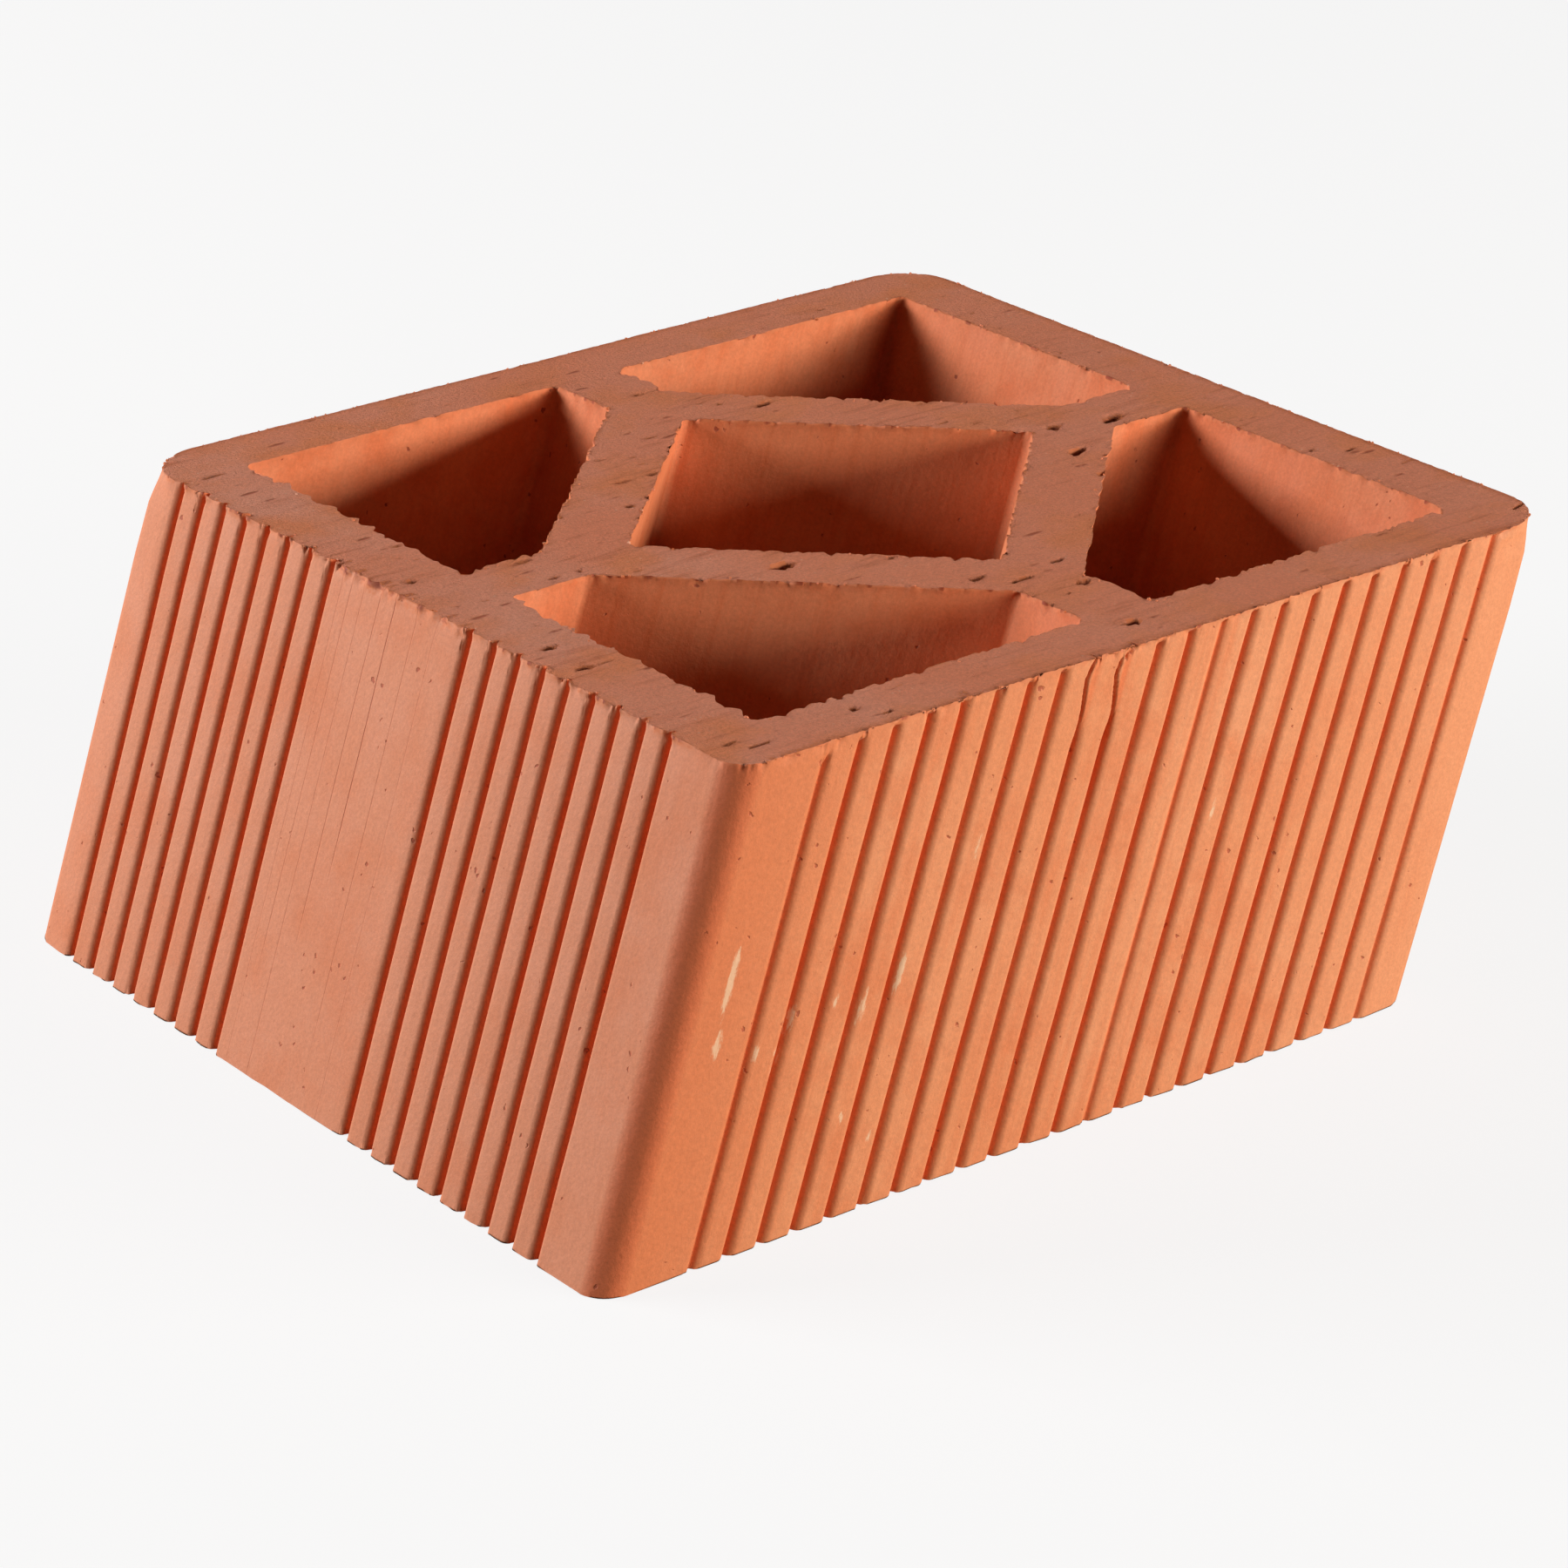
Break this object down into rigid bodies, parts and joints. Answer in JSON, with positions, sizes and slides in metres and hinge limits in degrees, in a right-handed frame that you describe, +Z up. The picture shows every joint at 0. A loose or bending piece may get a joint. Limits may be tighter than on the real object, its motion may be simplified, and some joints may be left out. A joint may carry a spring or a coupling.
{
  "type": "breeze block",
  "caption": "Square screen block of fired clay with a diamond cell, corner cells and grooved sides, its length cut at a slant.",
  "frame": {"origin": "on the floor under the middle of the block, which lies on a cut face", "axes": "+X along the side that the cells lean towards, +Y along the upright side, +Z up, square to the cut faces"},
  "size_m": [0.1978, 0.17, 0.081],
  "materials": {
    "fired_clay": "matte, wire-cut"
  },
  "bodies": {
    "root": {"breeze_block": "fired_clay"}
  },
  "joints": []
}
